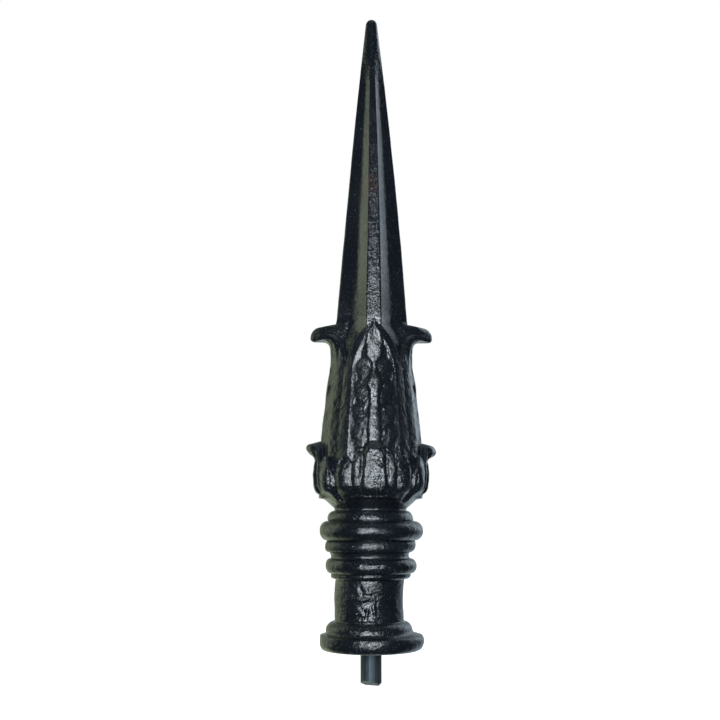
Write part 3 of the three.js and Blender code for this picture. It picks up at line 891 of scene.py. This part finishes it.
def bare_steel():
    """Dull blue-grey drawn bar, with streaks along it."""
    material, tree, shader = new_material("bare_steel", (0.12, 0.14, 0.16), 0.5, 0.6)
    place = node(tree, "ShaderNodeTexCoord").outputs["Object"]
    stretch = node(tree, "ShaderNodeMapping")
    stretch.inputs["Scale"].default_value = (1, 1, 0.08)
    tree.links.new(place, stretch.inputs["Vector"])
    streaks = noise_texture(tree, stretch.outputs["Vector"], STEEL_STREAKS)
    color = mixed(tree, noise_texture(tree, place, STEEL_BLOTCHES), DARK_STEEL, PALE_STEEL)
    tree.links.new(mapped(tree, streaks, 0.3, 0.7, 0.46, 0.6), shader.inputs["Roughness"])
    tree.links.new(color, shader.inputs["Base Color"])
    bumped(tree, shader, streaks, 0.0002, 0.25)
    return material


# Stage

FLOOR_LEVEL = cad_low[2] - 0.0003
FLOOR_HALF = 6.0

# The room that the paint sees: a backdrop behind the object within these degrees from its middle,
# brighter low down, tinted from olive on the left to blue on the right, in a dim room
BACKDROP, ROOM = 0.75, 0.013
BACKDROP_EDGE = (math.radians(50), math.radians(62))
OLIVE, BLUE = (0.82, 0.95, 0.66), (0.74, 0.9, 1.0)

# Area lights: name, place, aim, width and height in metres, watts, colour
LIGHTS = [
    ("key", (-0.1, -1.1, 0.175), (0, 0, 0.12), (0.34, 0.53), 18, (0.86, 0.94, 1.0)),
    ("left", (-0.93, 0.37, 0.375), (0, 0, 0.15), (0.5, 0.95), 3.1, (0.72, 0.8, 0.58)),
    ("right", (0.79, 0.61, 0.6), (0, 0, 0.15), (0.6, 1.0), 4.4, (0.66, 0.78, 0.88)),
    ("top", (0, -0.15, 1.4), (0, 0, 0.1), (0.9, 0.9), 1.8, (0.85, 0.93, 1.0)),
]


def add_floor():
    """A plain pale floor that the paint doesn't mirror and that takes no shadow."""
    mesh = bpy.data.meshes.new("floor")
    a = FLOOR_HALF
    mesh.from_pydata([(-a, -a, 0), (a, -a, 0), (a, a, 0), (-a, a, 0)], [], [(0, 1, 2, 3)])
    floor = bpy.data.objects.new("floor", mesh)
    bpy.context.scene.collection.objects.link(floor)
    floor.location.z = FLOOR_LEVEL
    material, _, shader = new_material("floor_pale", (0.9, 0.9, 0.9), 0.9)
    shader.inputs["Emission Color"].default_value = (1, 1, 1, 1)
    shader.inputs["Emission Strength"].default_value = 1.0
    mesh.materials.append(material)
    floor.visible_glossy = False
    floor.visible_diffuse = False
    floor.visible_shadow = False


def add_light(name, location, target, size, power, color):
    lamp = bpy.data.lights.new(name, "AREA")
    lamp.shape = "RECTANGLE"
    lamp.size, lamp.size_y = size
    lamp.energy = power
    lamp.color = color
    light = bpy.data.objects.new(name, lamp)
    light.location = location
    light.rotation_euler = (Vector(target) - Vector(location)).to_track_quat("-Z", "Y").to_euler()
    bpy.context.scene.collection.objects.link(light)


def add_world():
    """White to the camera. The paint sees a bright backdrop behind the object and a dim room."""
    world = bpy.data.worlds.new("studio")
    bpy.context.scene.world = world
    world.use_nodes = True
    tree = world.node_tree
    background = tree.nodes["Background"]
    path = node(tree, "ShaderNodeLightPath")
    direction = node(tree, "ShaderNodeSeparateXYZ")
    tree.links.new(node(tree, "ShaderNodeTexCoord").outputs["Generated"], direction.inputs["Vector"])
    turn = computed(tree, "ARCTAN2", direction.outputs["X"], direction.outputs["Y"])
    backdrop = mapped(tree, computed(tree, "ABSOLUTE", turn), *BACKDROP_EDGE, BACKDROP, 0)
    high = mapped(tree, direction.outputs["Z"], 0.08, 0.3, 1, 0.45)
    low = mapped(tree, direction.outputs["Z"], -0.2, -0.4, 0, 0.8)
    lit = computed(tree, "MULTIPLY", backdrop, total(tree, high, low))
    rightward = mapped(tree, direction.outputs["X"], -0.35, 0.25, 0, 1)
    to_camera = path.outputs["Is Camera Ray"]
    color = mixed(tree, to_camera, mixed(tree, rightward, OLIVE, BLUE), (1, 1, 1))
    strength = computed(tree, "MAXIMUM", total(tree, lit, ROOM), to_camera)
    tree.links.new(color, background.inputs["Color"])
    tree.links.new(strength, background.inputs["Strength"])


bpy.context.scene.view_settings.view_transform = "Standard"
add_camera()
casting = add_casting()
casting.data.materials.append(painted_iron())
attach(casting, "root")
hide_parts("casting")

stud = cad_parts["steel_stud"]
stud.data.materials.clear()
stud.data.materials.append(bare_steel())

add_floor()
add_world()
for light in LIGHTS:
    add_light(*light)
